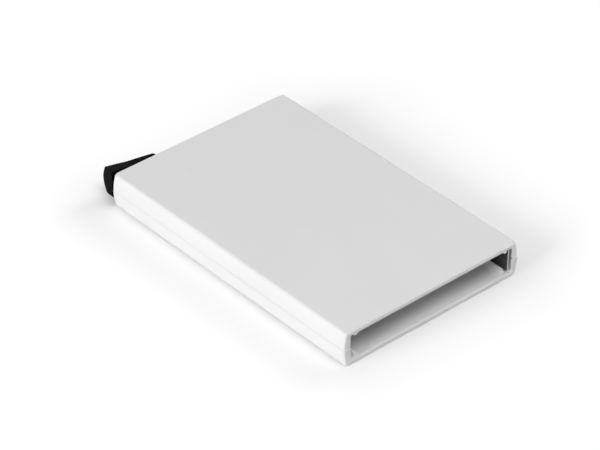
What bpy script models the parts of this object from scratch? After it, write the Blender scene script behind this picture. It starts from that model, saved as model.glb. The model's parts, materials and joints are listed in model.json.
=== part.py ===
"""Card holder for bank cards: a two-part moulded case with aluminium screens and an ejecting lever.

Lengths are in metres. +Z is up and +Y runs from the open mouth to the back. The origin is the middle of
the underside. The lever stands out of the back-left corner, at -X, and turns on an upright pin.
"""

import math

import bmesh
import bpy
from mathutils import Vector

# Cards, a stack of standard bank cards
CARD_WIDTH = 0.05398
CARD_LENGTH = 0.08560
CARD_THICKNESS = 0.00076
CARD_COUNT = 6
CARD_SIDE_PLAY = 0.00012
STACK_PLAY = 0.00087

# Case walls
FLOOR_WALL = 0.00145
TOP_WALL = 0.00105
SIDE_WALL = 0.00290
BACK_WALL = 0.00140
UPPER_WALL_STEP = 0.00010
LEVER_POCKET = 0.00530

# Case outside
SEAM_HEIGHT = 0.00536
SEAM_GAP = 0.00010
SEAM_LIP = 0.00010
SEAM_CHAMFER = 0.00012
UPPER_SIDE_RADIUS = 0.01400
LOWER_SIDE_RADIUS = 0.01600
TOP_EDGE_RADIUS = 0.00100
BOTTOM_EDGE_RADIUS = 0.00100
MOUTH_EDGE_RADIUS = 0.00020
MOUTH_INSET = 0.00040
MOUTH_INSET_RUN = 0.00100
BACK_EDGE_RADIUS = 0.00050
BACK_LEFT_RADIUS = 0.00120
BACK_RIGHT_RADIUS = 0.00080

# Case inside
MOUTH_LEAD = 0.00010
FLOOR_LEAD = 0.00060
INNER_SEAM_CHAMFER = 0.00030
FLOOR_RAIL_HEIGHT = 0.00150
CEILING_RAIL_HEIGHT = 0.00065
LEFT_FLOOR_CHANNEL = 0.00120
LEFT_CEILING_CHANNEL = 0.00085
RAIL_WIDTH = 0.00130
RAIL_TIP_WIDTH = 0.00055
RAIL_DRAFT = 0.00005
RAIL_RAMP = 0.00090
RAIL_SETBACK = 0.00005
RAIL_TO_POCKET = 0.00150
CHANNEL_STOP = 0.00100
CHANNEL_STOP_HEIGHT = 0.00250
CHANNEL_SEAT_HEIGHT = 0.00045
CHANNEL_SEAT_FROM_MOUTH = 0.00100
TONGUE_WIDTH = 0.00050
TONGUE_HEIGHT = 0.00080
TONGUE_CLEARANCE = 0.00010
TONGUE_TO_MOUTH = 0.00150
TONGUE_TO_SLOT = 0.00200

# Card spring, a wavy strip on edge in the right-hand channel
SPRING_THICKNESS = 0.00050
SPRING_WAVE = 0.00085
SPRING_WALL_GAP = 0.00045
SPRING_RAIL_GAP = 0.00015
SPRING_END_GAP = 0.00025
SPRING_EDGE_GAP = 0.00030
SPRING_LENGTH = 0.08000
SPRING_WAVE_COUNT = 2.5
SPRING_LEAD_OUT = 0.00045
SPRING_FIRST_CREST = 0.01500

# Screens, thin sheets taped into shallow recesses
SCREEN_THICKNESS = 0.00030
SCREEN_RECESS = 0.00030
SCREEN_TAPE = 0.00030
SCREEN_TO_RAIL = 0.00050
SCREEN_EDGE_GAP = 0.00030
SCREEN_FROM_MOUTH = 0.01200
SCREEN_TO_CARD_END = 0.00150
SCREEN_CORNER_RADIUS = 0.00200

# Lever pin and its seats
PIN_RADIUS = 0.00100
PIN_SEAT_CLEARANCE = 0.00005
PIN_BORE_CLEARANCE = 0.00010
PIN_END_GAP = 0.00015
PIN_SEAT_SKIN = 0.00060
PIN_CHAMFER = 0.00020
PIVOT_FROM_SIDE = 0.00475
PIVOT_FROM_BACK = 0.00265
BOSS_RADIUS = 0.00190
BOSS_HEIGHT = 0.00050

# Lever
LEVER_TRAVEL_DEG = 36.0
LEVER_CLEARANCE = 0.00030
HUB_RADIUS = 0.00235
NECK_REACH = 0.00225
ARM_REACH = 0.04000
ARM_STEP = 0.00400
ARM_CARD_SHARE = 0.5
ARM_BACK_GAP = 0.00035
ARM_ROOT_FRONT = 0.00220
ARM_TIP_FRONT = 0.00150
ARM_TIP_RADIUS = 0.00140
HEEL_LIMIT_DEG = 184.0
HEEL_HALF_ANGLE_DEG = 24.0
HEEL_TIP_RADIUS = 0.00050
HEEL_WALL_GAP = 0.00015

# Lever fin, the part outside the case
FIN_THICK_REACH = 0.00570
FIN_THIN_REACH = 0.00875
FIN_STAND_OFF = 0.00130
FIN_THICK_EDGE = 0.00490
FIN_THIN_EDGE = 0.00225
FIN_THIN_STAND_OFF = 0.00040
FIN_EDGE_SAGITTA = 0.00033
FIN_BULGE = 0.00137
FIN_THIN_BULGE = 0.00020
FIN_LOWER_SETBACK = 0.00035
FIN_HOLLOW = 0.00130
FIN_LIP_HEIGHT = 0.00070
FIN_LIP_SLOPE = 0.00040
FIN_THICK_HEIGHT = 0.00875
FIN_RISE_START = 0.00100
FIN_EDGE_ROUND = 0.00020
FIN_TIP_ROUND = 0.00060
WEB_RIGHT_INSET = 0.00040
WEB_SINK = 0.00100
WEB_FOOT_REACH = 0.00560

# How finely round shapes are divided
SIDE_SEGMENTS = 8
EDGE_SEGMENTS = 3
CORNER_SEGMENTS = 6
CIRCLE_SEGMENTS = 40
SPRING_SEGMENTS = 60
FIN_STATIONS = 12
FIN_ROWS = 10

# Cutters and joined shapes run past the face that they meet by this much
OVERRUN = 0.00100
SINK = 0.00030
SMOOTH_ANGLE_DEG = 32.0

# Sizes that follow from those above
inner_half = (CARD_WIDTH + CARD_SIDE_PLAY + SPRING_THICKNESS + SPRING_WAVE + SPRING_WALL_GAP) / 2
upper_inner_half = inner_half + UPPER_WALL_STEP
lower_half = inner_half + SIDE_WALL
upper_half = lower_half - SEAM_LIP
length = CARD_LENGTH + LEVER_POCKET + BACK_WALL
mouth = -length / 2
back = length / 2
back_inner = back - BACK_WALL
card_end = mouth + CARD_LENGTH
floor_rail_top = FLOOR_WALL + FLOOR_RAIL_HEIGHT
ceiling_rail_tip = floor_rail_top + CARD_COUNT * CARD_THICKNESS + STACK_PLAY
ceiling = ceiling_rail_tip + CEILING_RAIL_HEIGHT
height = ceiling + TOP_WALL
seam_low = SEAM_HEIGHT - SEAM_GAP / 2
seam_high = SEAM_HEIGHT + SEAM_GAP / 2
spring_crest = CARD_WIDTH + CARD_SIDE_PLAY - inner_half
channel_left = spring_crest - SPRING_RAIL_GAP
left_floor_rail = LEFT_FLOOR_CHANNEL - inner_half
left_ceiling_rail = LEFT_CEILING_CHANNEL - inner_half
rail_end = card_end - RAIL_TO_POCKET
spring_front = mouth + SPRING_END_GAP
spring_back = spring_front + SPRING_LENGTH
tongue_middle = (upper_inner_half + upper_half) / 2
tongue_back_middle = (back_inner + back) / 2
pivot = Vector((PIVOT_FROM_SIDE - inner_half, back_inner - PIVOT_FROM_BACK, 0))
pivot_to_back = back - pivot.y
hub_low = FLOOR_WALL + BOSS_HEIGHT + LEVER_CLEARANCE
hub_high = ceiling - BOSS_HEIGHT - LEVER_CLEARANCE
fin_low = FLOOR_WALL + LEVER_CLEARANCE
fin_high = ceiling - LEVER_CLEARANCE
fin_middle = (fin_low + fin_high) / 2
fin_tip_swing = math.hypot(FIN_THIN_REACH, pivot_to_back + FIN_THIN_EDGE)
slot_left = pivot.x - NECK_REACH - LEVER_CLEARANCE
slot_right = pivot.x + math.sqrt(fin_tip_swing**2 - PIVOT_FROM_BACK**2) + LEVER_CLEARANCE


# Outlines


def arc(centre, radius, start, end, segments):
    """Points on an arc round a centre, from the start angle to the end angle in radians."""
    turns = [start + (end - start) * i / segments for i in range(segments + 1)]
    return [Vector((centre[0] + radius * math.cos(a), centre[1] + radius * math.sin(a))) for a in turns]


def circle(radius, centre):
    """Outline of a full circle."""
    return arc(centre, radius, 0, math.tau, CIRCLE_SEGMENTS)[:-1]


def rectangle(low, high):
    """Outline of an upright rectangle between two corners."""
    return [Vector(low), Vector((high[0], low[1])), Vector(high), Vector((low[0], high[1]))]


def rounded(corners, radii):
    """Outline through the corners, with each corner turned into an arc of its own radius."""
    outline = []
    for i, radius in enumerate(radii):
        here = Vector(corners[i])
        if radius == 0:
            outline.append(here)
            continue
        to_last = (Vector(corners[i - 1]) - here).normalized()
        to_next = (Vector(corners[(i + 1) % len(corners)]) - here).normalized()
        half = to_last.angle(to_next) / 2
        centre = here + (to_last + to_next).normalized() * radius / math.sin(half)
        first = here + to_last * radius / math.tan(half) - centre
        last = here + to_next * radius / math.tan(half) - centre
        start = math.atan2(first.y, first.x)
        turn = (math.atan2(last.y, last.x) - start + math.pi) % math.tau - math.pi
        outline += arc(centre, radius, start, start + turn, CORNER_SEGMENTS)
    return outline


# Meshes and objects


def object_from(name, bm):
    """New object with the mesh built so far, its faces pointing outwards."""
    bmesh.ops.recalc_face_normals(bm, faces=bm.faces)
    mesh = bpy.data.meshes.new(name)
    bm.to_mesh(mesh)
    bm.free()
    obj = bpy.data.objects.new(name, mesh)
    bpy.context.scene.collection.objects.link(obj)
    return obj


def prism(name, outline, axis, low, high):
    """Prism of an outline drawn in the plane across the axis, from low to high along it."""
    place = {
        "X": lambda p: (low, p[0], p[1]),
        "Y": lambda p: (p[0], low, p[1]),
        "Z": lambda p: (p[0], p[1], low),
    }[axis]
    step = Vector([high - low if axis == letter else 0 for letter in "XYZ"])
    bm = bmesh.new()
    face = bm.faces.new([bm.verts.new(place(p)) for p in outline])
    raised = bmesh.ops.extrude_face_region(bm, geom=[face])["geom"]
    bmesh.ops.translate(bm, vec=step, verts=[v for v in raised if isinstance(v, bmesh.types.BMVert)])
    return object_from(name, bm)


def block(name, low, high):
    """Rectangular block between two corners."""
    return prism(name, rectangle(low[:2], high[:2]), "Z", low[2], high[2])


def loft(name, sections):
    """Closed skin over loops of as many points each, capped at both ends."""
    bm = bmesh.new()
    loops = [[bm.verts.new(point) for point in section] for section in sections]
    for near, far in zip(loops, loops[1:]):
        for i in range(len(near)):
            bm.faces.new((near[i - 1], near[i], far[i], far[i - 1]))
    bm.faces.new(loops[0])
    bm.faces.new(loops[-1])
    return object_from(name, bm)


def combine(target, tool, operation):
    """Boolean of a helper shape on the target; the helper stays out of the model."""
    tool.hide_render = True
    tool.display_type = "WIRE"
    modifier = target.modifiers.new(tool.name, "BOOLEAN")
    modifier.operation = operation
    modifier.solver = "EXACT"
    modifier.object = tool


def finish(obj, name, colour, roughness, metallic):
    """Gives a piece its own material and smooth shading between its sharp edges."""
    material = bpy.data.materials.new(name)
    material.use_nodes = True
    shader = material.node_tree.nodes["Principled BSDF"]
    shader.inputs["Base Color"].default_value = (*colour, 1)
    shader.inputs["Roughness"].default_value = roughness
    shader.inputs["Metallic"].default_value = metallic
    obj.data.materials.append(material)
    obj.data.shade_smooth()
    obj.data.set_sharp_from_angle(angle=math.radians(SMOOTH_ANGLE_DEG))


# Case


def side_profile(half, side_radius, edge_radius, rise):
    """Right side of a shell from its seam to its flat face: points with their outward directions.

    The side is an arc whose widest place is the seam. A small arc joins it to the flat face, which lies
    at the rise above the seam.
    """
    centre = half - side_radius
    meet = math.asin((rise - edge_radius) / (side_radius - edge_radius))
    start = math.asin(SEAM_CHAMFER / side_radius)
    edge_centre = (centre + (side_radius - edge_radius) * math.cos(meet), rise - edge_radius)
    points = arc((centre, 0), side_radius, start, meet, SIDE_SEGMENTS)
    angles = [start + (meet - start) * i / SIDE_SEGMENTS for i in range(SIDE_SEGMENTS + 1)]
    points += arc(edge_centre, edge_radius, meet, math.pi / 2, EDGE_SEGMENTS)[1:]
    angles += [meet + (math.pi / 2 - meet) * i / EDGE_SEGMENTS for i in range(1, EDGE_SEGMENTS + 1)]
    profile = [(Vector((half - SEAM_CHAMFER, 0)), Vector((1, 0)))]
    return profile + [(p, Vector((math.cos(a), math.sin(a)))) for p, a in zip(points, angles)]


def corner_inset(radius, y):
    """How far a rounded upright corner at the back stands in from the side at a place along the case."""
    into = max(0, y - (back - radius))
    return radius - math.sqrt(max(0, radius**2 - into**2))


def mouth_inset(y):
    """How far a side is drawn in at a place along the case: a shallow arc over the run next to the mouth."""
    radius = (MOUTH_INSET_RUN**2 + MOUTH_INSET**2) / (2 * MOUTH_INSET)
    into = max(0, mouth + MOUTH_INSET_RUN - y)
    return radius - math.sqrt(radius**2 - into**2)


def shell_stations():
    """Places along the case and how far its outer edges are rounded in there."""
    stations = []
    for i in range(EDGE_SEGMENTS + 1):
        turn = math.pi / 2 * i / EDGE_SEGMENTS
        y = mouth + MOUTH_EDGE_RADIUS * (1 - math.cos(turn))
        stations.append((y, MOUTH_EDGE_RADIUS * (1 - math.sin(turn))))
    inset_run = MOUTH_INSET_RUN - MOUTH_EDGE_RADIUS
    for i in range(1, EDGE_SEGMENTS + 1):
        stations.append((mouth + MOUTH_EDGE_RADIUS + inset_run * i / EDGE_SEGMENTS, 0))
    for i in range(SIDE_SEGMENTS + 1):
        turn = math.pi / 2 * i / SIDE_SEGMENTS
        y = back - BACK_LEFT_RADIUS * (1 - math.sin(turn))
        stations.append((y, corner_inset(BACK_EDGE_RADIUS, y)))
    return stations


def outer_form(name, profile, seam, up):
    """Full outer body of one shell, from its seam to its flat face; up is 1 or -1."""
    sections = []
    for y, edge in shell_stations():
        right, left = [], []
        for point, away in profile:
            z = seam + up * (point.y - edge * away.y)
            side = point.x - edge * away.x - mouth_inset(y)
            right.append((side - corner_inset(BACK_RIGHT_RADIUS, y), y, z))
            left.append((corner_inset(BACK_LEFT_RADIUS, y) - side, y, z))
        sections.append(right + left[::-1])
    return loft(name, sections)


def cavity_outline(half, seam, flat_wall, up):
    """Section of a shell's inside, from its flat wall to its seam, where the side walls' edges are bevelled."""
    wide = half + INNER_SEAM_CHAMFER + OVERRUN
    bevel_end, past_seam = seam + up * INNER_SEAM_CHAMFER, seam - up * OVERRUN
    right = [(half, flat_wall), (half, bevel_end), (wide, past_seam)]
    return right + [(-x, z) for x, z in reversed(right)]


def mouth_flare(name, half):
    """Cutter that breaks the inner edge all round the mouth."""
    sections = []
    for y, grow in ((mouth - OVERRUN, MOUTH_LEAD + OVERRUN), (mouth + MOUTH_LEAD, 0)):
        low, high = (-half - grow, FLOOR_WALL - grow), (half + grow, ceiling + grow)
        sections.append([(p.x, y, p.y) for p in rectangle(low, high)])
    return loft(name, sections)


def floor_lead():
    """Cutter that slopes the front edge of the floor, so that cards slide in."""
    outline = [
        (mouth - OVERRUN, FLOOR_WALL - FLOOR_LEAD - OVERRUN),
        (mouth + FLOOR_LEAD, FLOOR_WALL),
        (mouth + FLOOR_LEAD, FLOOR_WALL + SINK),
        (mouth - OVERRUN, FLOOR_WALL + SINK),
    ]
    return prism("floor_lead", outline, "X", -inner_half, inner_half)


def tongue_outlines(grow):
    """Outlines of the tongue's two stretches: the left side, and the right side with the back."""
    half_width = TONGUE_WIDTH / 2 + grow
    front = mouth + TONGUE_TO_MOUTH - grow
    inner, outer = tongue_middle - half_width, tongue_middle + half_width
    back_near, back_far = tongue_back_middle - half_width, tongue_back_middle + half_width
    right = [
        Vector((inner, front)),
        Vector((outer, front)),
        Vector((outer, back_far)),
        Vector((slot_right + TONGUE_TO_SLOT - grow, back_far)),
        Vector((slot_right + TONGUE_TO_SLOT - grow, back_near)),
        Vector((inner, back_near)),
    ]
    return rectangle((-outer, front), (-inner, back - BACK_LEFT_RADIUS + grow)), right


def rail(name, side, inward, ends, levels):
    """Rail along the case: upright on its channel side, and sloped on the side of the cards.

    Its channel side stands at this place, and inward is 1 or -1, the way from there to the cards. The ends
    are its front on the wall and at its tip. The levels are its buried foot, its wall and its tip.
    """
    foot, wall, tip = levels
    base = rectangle((side, ends[0]), (side + inward * RAIL_WIDTH, rail_end))
    tip_side = side + inward * RAIL_DRAFT
    top = rectangle((tip_side, ends[1]), (tip_side + inward * RAIL_TIP_WIDTH, rail_end))
    loops = ((base, foot), (base, wall), (top, tip))
    return loft(name, [[(*p, z) for p in outline] for outline, z in loops])


def screen_outline(grow):
    """Plan of a screen between the rails, grown for its recess."""
    margin = SCREEN_TO_RAIL + SCREEN_EDGE_GAP - grow
    low = (left_floor_rail + RAIL_WIDTH + margin, mouth + SCREEN_FROM_MOUTH - grow)
    high = (channel_left - RAIL_WIDTH - margin, card_end - SCREEN_TO_CARD_END + grow)
    return rounded(rectangle(low, high), [SCREEN_CORNER_RADIUS + grow] * 4)


def make_upper_shell():
    """Top half of the case, with its ceiling rails, tongue and pin seat."""
    profile = side_profile(upper_half, UPPER_SIDE_RADIUS, TOP_EDGE_RADIUS, height - seam_high)
    shell = outer_form("upper_shell", profile, seam_high, 1)
    low = seam_high - OVERRUN
    cavity = cavity_outline(upper_inner_half, seam_high, ceiling, 1)
    combine(shell, prism("upper_cavity", cavity, "Y", mouth - OVERRUN, back_inner), "DIFFERENCE")
    combine(shell, mouth_flare("upper_mouth_flare", upper_inner_half), "DIFFERENCE")
    combine(shell, block("upper_slot", (slot_left, back_inner - OVERRUN, low),
                         (slot_right, back + OVERRUN, ceiling)), "DIFFERENCE")
    combine(shell, prism("upper_recess", screen_outline(SCREEN_EDGE_GAP), "Z", ceiling - OVERRUN,
                         ceiling + SCREEN_RECESS), "DIFFERENCE")
    for side, place, inward in (("left", left_ceiling_rail, 1), ("right", channel_left, -1)):
        front = mouth + RAIL_SETBACK
        combine(shell, rail(side + "_ceiling_rail", place, inward, (front, front),
                            (ceiling + SINK, ceiling, ceiling_rail_tip)), "UNION")
    for side, outline in zip(("left", "right"), tongue_outlines(0)):
        combine(shell, prism(side + "_tongue", outline, "Z", seam_high - TONGUE_HEIGHT,
                             seam_high + SINK), "UNION")
    combine(shell, prism("upper_boss", circle(BOSS_RADIUS, pivot.xy), "Z", ceiling - BOSS_HEIGHT,
                         ceiling + SINK), "UNION")
    combine(shell, prism("upper_pin_seat", circle(PIN_RADIUS + PIN_SEAT_CLEARANCE, pivot.xy), "Z",
                         ceiling - BOSS_HEIGHT - OVERRUN, height - PIN_SEAT_SKIN), "DIFFERENCE")
    finish(shell, "white_upper_shell", (0.82, 0.82, 0.82), 0.42, 0)


def make_lower_shell():
    """Bottom half of the case, with its floor rails, groove, pin seat and the spring's seat and stop."""
    profile = side_profile(lower_half, LOWER_SIDE_RADIUS, BOTTOM_EDGE_RADIUS, seam_low)
    shell = outer_form("lower_shell", profile, seam_low, -1)
    high = seam_low + OVERRUN
    cavity = cavity_outline(inner_half, seam_low, FLOOR_WALL, -1)
    combine(shell, prism("lower_cavity", cavity, "Y", mouth - OVERRUN, back_inner), "DIFFERENCE")
    combine(shell, mouth_flare("lower_mouth_flare", inner_half), "DIFFERENCE")
    combine(shell, floor_lead(), "DIFFERENCE")
    combine(shell, block("lower_slot", (slot_left, back_inner - OVERRUN, FLOOR_WALL),
                         (slot_right, back + OVERRUN, high)), "DIFFERENCE")
    combine(shell, prism("lower_recess", screen_outline(SCREEN_EDGE_GAP), "Z",
                         FLOOR_WALL - SCREEN_RECESS, FLOOR_WALL + OVERRUN), "DIFFERENCE")
    for side, place, inward in (("left", left_floor_rail, 1), ("right", channel_left, -1)):
        front = mouth + FLOOR_LEAD
        combine(shell, rail(side + "_floor_rail", place, inward, (front, front + RAIL_RAMP),
                            (FLOOR_WALL - SINK, FLOOR_WALL, floor_rail_top)), "UNION")
    stop_front = spring_back + SPRING_END_GAP
    channel_right = inner_half + SINK
    combine(shell, block("channel_seat",
                         (channel_left - SINK, mouth + CHANNEL_SEAT_FROM_MOUTH, FLOOR_WALL - SINK),
                         (channel_right, stop_front + SINK, FLOOR_WALL + CHANNEL_SEAT_HEIGHT)), "UNION")
    combine(shell, block("channel_stop", (spring_crest + SPRING_RAIL_GAP, stop_front, FLOOR_WALL - SINK),
                         (channel_right, stop_front + CHANNEL_STOP, FLOOR_WALL + CHANNEL_STOP_HEIGHT)),
            "UNION")
    for side, outline in zip(("left", "right"), tongue_outlines(TONGUE_CLEARANCE)):
        combine(shell, prism(side + "_groove", outline, "Z",
                             seam_high - TONGUE_HEIGHT - TONGUE_CLEARANCE, high), "DIFFERENCE")
    combine(shell, prism("lower_boss", circle(BOSS_RADIUS, pivot.xy), "Z", FLOOR_WALL - SINK,
                         FLOOR_WALL + BOSS_HEIGHT), "UNION")
    combine(shell, prism("lower_pin_seat", circle(PIN_RADIUS + PIN_SEAT_CLEARANCE, pivot.xy), "Z",
                         PIN_SEAT_SKIN, FLOOR_WALL + BOSS_HEIGHT + OVERRUN), "DIFFERENCE")
    finish(shell, "white_lower_shell", (0.80, 0.80, 0.80), 0.42, 0)


# What the case holds


def spring_places():
    """Places along the spring: its bent front end first, then its waves."""
    waves = SPRING_LENGTH - SPRING_FIRST_CREST
    places = [SPRING_FIRST_CREST * i / CORNER_SEGMENTS for i in range(CORNER_SEGMENTS)]
    return places + [SPRING_FIRST_CREST + waves * i / SPRING_SEGMENTS for i in range(SPRING_SEGMENTS + 1)]


def spring_offset(along):
    """How far the spring stands back from its crests at a place along it."""
    past_crest = along - SPRING_FIRST_CREST
    if past_crest < 0:
        return SPRING_LEAD_OUT * (1 - math.cos(math.pi * past_crest / SPRING_FIRST_CREST)) / 2
    wave_length = (SPRING_LENGTH - SPRING_FIRST_CREST) / SPRING_WAVE_COUNT
    return SPRING_WAVE * (1 - math.cos(math.tau * past_crest / wave_length)) / 2


def make_card_spring():
    """Wavy strip that stands on edge between the right-hand rails and the wall."""
    inner = [Vector((spring_crest + spring_offset(a), spring_front + a)) for a in spring_places()]
    outer = [Vector((p.x + SPRING_THICKNESS, p.y)) for p in inner]
    spring = prism("card_spring", inner + outer[::-1], "Z",
                   FLOOR_WALL + CHANNEL_SEAT_HEIGHT + SPRING_EDGE_GAP, ceiling - SPRING_EDGE_GAP)
    finish(spring, "dark_spring_steel", (0.03, 0.03, 0.03), 0.4, 1)


def make_screens():
    """Thin aluminium sheets over the floor and under the ceiling."""
    floor_low = FLOOR_WALL - SCREEN_RECESS + SCREEN_TAPE
    ceiling_low = ceiling + SCREEN_RECESS - SCREEN_TAPE - SCREEN_THICKNESS
    for name, low in (("lower_screen", floor_low), ("upper_screen", ceiling_low)):
        screen = prism(name, screen_outline(0), "Z", low, low + SCREEN_THICKNESS)
        finish(screen, "aluminium_" + name, (0.75, 0.75, 0.76), 0.35, 1)


def make_pin():
    """Steel pin of the lever, seated in both shells."""
    low, high = PIN_SEAT_SKIN + PIN_END_GAP, height - PIN_SEAT_SKIN - PIN_END_GAP
    rings = (
        (PIN_RADIUS - PIN_CHAMFER, low),
        (PIN_RADIUS, low + PIN_CHAMFER),
        (PIN_RADIUS, high - PIN_CHAMFER),
        (PIN_RADIUS - PIN_CHAMFER, high),
    )
    pin = loft("lever_pin", [[(*p, z) for p in circle(radius, (0, 0))] for radius, z in rings])
    pin.location = pivot
    finish(pin, "steel_pin", (0.6, 0.6, 0.6), 0.3, 1)


# Lever, drawn round its pivot


def fin_edge(share):
    """How far the fin's outer upper edge stands off the back face, from thick end (0) to thin end (1)."""
    straight = FIN_THICK_EDGE + (FIN_THIN_EDGE - FIN_THICK_EDGE) * share
    return straight + 4 * FIN_EDGE_SAGITTA * share * (1 - share)


def fin_section(reach, inset):
    """Loop across the fin at a place along it: inner face hollow between two lips, outer face a barrel."""
    run = FIN_THICK_REACH + FIN_THIN_REACH
    share = (reach + FIN_THICK_REACH) / run
    tall = max(0, FIN_RISE_START - reach) / (FIN_RISE_START + FIN_THICK_REACH)
    slim_half = (fin_high - fin_low) / 2
    half = slim_half + (FIN_THICK_HEIGHT / 2 - slim_half) * tall - inset
    bulge = FIN_BULGE + (FIN_THIN_BULGE - FIN_BULGE) * share
    into_tip = max(0, reach - (FIN_THIN_REACH - FIN_TIP_ROUND))
    tip_inset = FIN_TIP_ROUND - math.sqrt(FIN_TIP_ROUND**2 - into_tip**2)
    edge = pivot_to_back + fin_edge(share) - tip_inset - inset
    thin = max(0, reach / FIN_THIN_REACH)
    inner = pivot_to_back + FIN_STAND_OFF + (FIN_THIN_STAND_OFF - FIN_STAND_OFF) * thin + inset
    hollow = inner + FIN_HOLLOW * max(0, -reach / FIN_THICK_REACH)
    low, high = fin_middle - half, fin_middle + half
    lip, lip_foot = FIN_LIP_HEIGHT, FIN_LIP_HEIGHT + FIN_LIP_SLOPE
    loop = [(reach, hollow, low + lip_foot), (reach, inner, low + lip), (reach, inner, low)]
    loop.append((reach, edge - FIN_LOWER_SETBACK * (1 - share) - FIN_EDGE_ROUND, low))
    for i in range(FIN_ROWS + 1):
        level = 2 * i / FIN_ROWS - 1
        setback = FIN_LOWER_SETBACK * (1 - share) * (1 - level) / 2
        z = fin_middle + (half - FIN_EDGE_ROUND / 2) * level
        loop.append((reach, edge + bulge * (1 - level**2) - setback, z))
    loop += [(reach, edge - FIN_EDGE_ROUND, high), (reach, inner, high)]
    return loop + [(reach, inner, high - lip), (reach, hollow, high - lip_foot)]


def fin_stations():
    """Places along the fin, close together where its ends are rounded."""
    stations = []
    for i in range(EDGE_SEGMENTS + 1):
        turn = math.pi / 2 * i / EDGE_SEGMENTS
        reach = FIN_EDGE_ROUND * (1 - math.cos(turn)) - FIN_THICK_REACH
        stations.append((reach, FIN_EDGE_ROUND * (1 - math.sin(turn))))
    start, end = stations[-1][0], FIN_THIN_REACH - FIN_TIP_ROUND
    stations += [(start + (end - start) * i / FIN_STATIONS, 0) for i in range(1, FIN_STATIONS + 1)]
    for i in range(1, CORNER_SEGMENTS + 1):
        turn = math.pi / 2 * i / CORNER_SEGMENTS
        stations.append((end + FIN_TIP_ROUND * math.sin(turn), 0))
    return stations


def arm_body():
    """Stepped arm, each step as high as the middle of its card, trimmed to a bar with a rounded tip."""
    rear = PIVOT_FROM_BACK - ARM_BACK_GAP
    pitch = (ceiling_rail_tip - floor_rail_top) / CARD_COUNT
    stairs = [(0, hub_low), (ARM_REACH, hub_low)]
    for i in range(CARD_COUNT - 1):
        reach = ARM_REACH - i * ARM_STEP
        top = floor_rail_top + (i + ARM_CARD_SHARE) * pitch
        stairs += [(reach, top), (reach - ARM_STEP, top)]
    stairs += [(ARM_REACH - (CARD_COUNT - 1) * ARM_STEP, hub_high), (0, hub_high)]
    arm = prism("arm", stairs, "Y", -HUB_RADIUS - OVERRUN, rear + OVERRUN)
    bar = [(0, -ARM_ROOT_FRONT), (ARM_REACH, -ARM_TIP_FRONT), (ARM_REACH, rear), (0, rear)]
    radii = [0, ARM_TIP_RADIUS, ARM_TIP_RADIUS, 0]
    combine(arm, prism("arm_plan", rounded(bar, radii), "Z", hub_low - OVERRUN, hub_high + OVERRUN),
            "INTERSECT")
    return arm


def heel_outline():
    """Stop on the hub that meets the left wall at the end of the lever's travel."""
    limit = math.radians(HEEL_LIMIT_DEG)
    tip_reach = (PIVOT_FROM_SIDE - HEEL_WALL_GAP) / abs(math.cos(limit))
    rest = limit + math.radians(LEVER_TRAVEL_DEG)
    spread = math.radians(HEEL_HALF_ANGLE_DEG)
    directions = ((rest - spread, HUB_RADIUS), (rest, tip_reach), (rest + spread, HUB_RADIUS))
    corners = [(reach * math.cos(a), reach * math.sin(a)) for a, reach in directions]
    return rounded([(0, 0)] + corners, [0, 0, HEEL_TIP_RADIUS, 0])


def web_outline():
    """Plan of the web that joins the fin to the hub through the slot."""
    top = pivot_to_back + WEB_SINK
    right = FIN_THIN_REACH - WEB_RIGHT_INSET
    return [
        (0, 0),
        (WEB_FOOT_REACH, 0),
        (right, pivot_to_back),
        (right, top + FIN_THIN_STAND_OFF),
        (0, top + FIN_STAND_OFF),
        (-NECK_REACH, top + FIN_STAND_OFF),
        (-NECK_REACH, 0),
    ]


def make_lever():
    """Ejector lever in one moulding: outer fin, web, hub, heel and stepped arm, with a bore."""
    lever = prism("ejector_lever", circle(HUB_RADIUS, (0, 0)), "Z", hub_low, hub_high)
    pieces = [
        arm_body(),
        prism("web", web_outline(), "Z", fin_low + SINK, fin_high - SINK),
        prism("heel", heel_outline(), "Z", hub_low + SINK, hub_high - SINK),
        loft("fin", [fin_section(reach, inset) for reach, inset in fin_stations()]),
    ]
    for piece in pieces:
        combine(lever, piece, "UNION")
    bore = prism("lever_bore", circle(PIN_RADIUS + PIN_BORE_CLEARANCE, (0, 0)), "Z", 0, height)
    combine(lever, bore, "DIFFERENCE")
    for obj in [lever, *pieces, bore, bpy.data.objects["arm_plan"]]:
        obj.location = pivot
    finish(lever, "black_lever", (0.012, 0.012, 0.013), 0.25, 0)


for existing in list(bpy.data.objects):
    bpy.data.objects.remove(existing)

make_upper_shell()
make_lower_shell()
make_card_spring()
make_screens()
make_pin()
make_lever()
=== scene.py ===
"""Looks of a card holder with an ejecting lever: fine meshes, finishes, studio light and camera.

Lengths are in metres, in the frame's own axes: +Z up, +Y from the open mouth to the back, and the
origin in the middle of the underside. Each sub-assembly is a class that builds its pieces round the
frame.
"""

import json
import logging
import math
from collections.abc import Callable, Iterable, Sequence
from dataclasses import dataclass, replace
from enum import Enum

import bmesh
import bpy
from mathutils import Matrix, Vector

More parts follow.
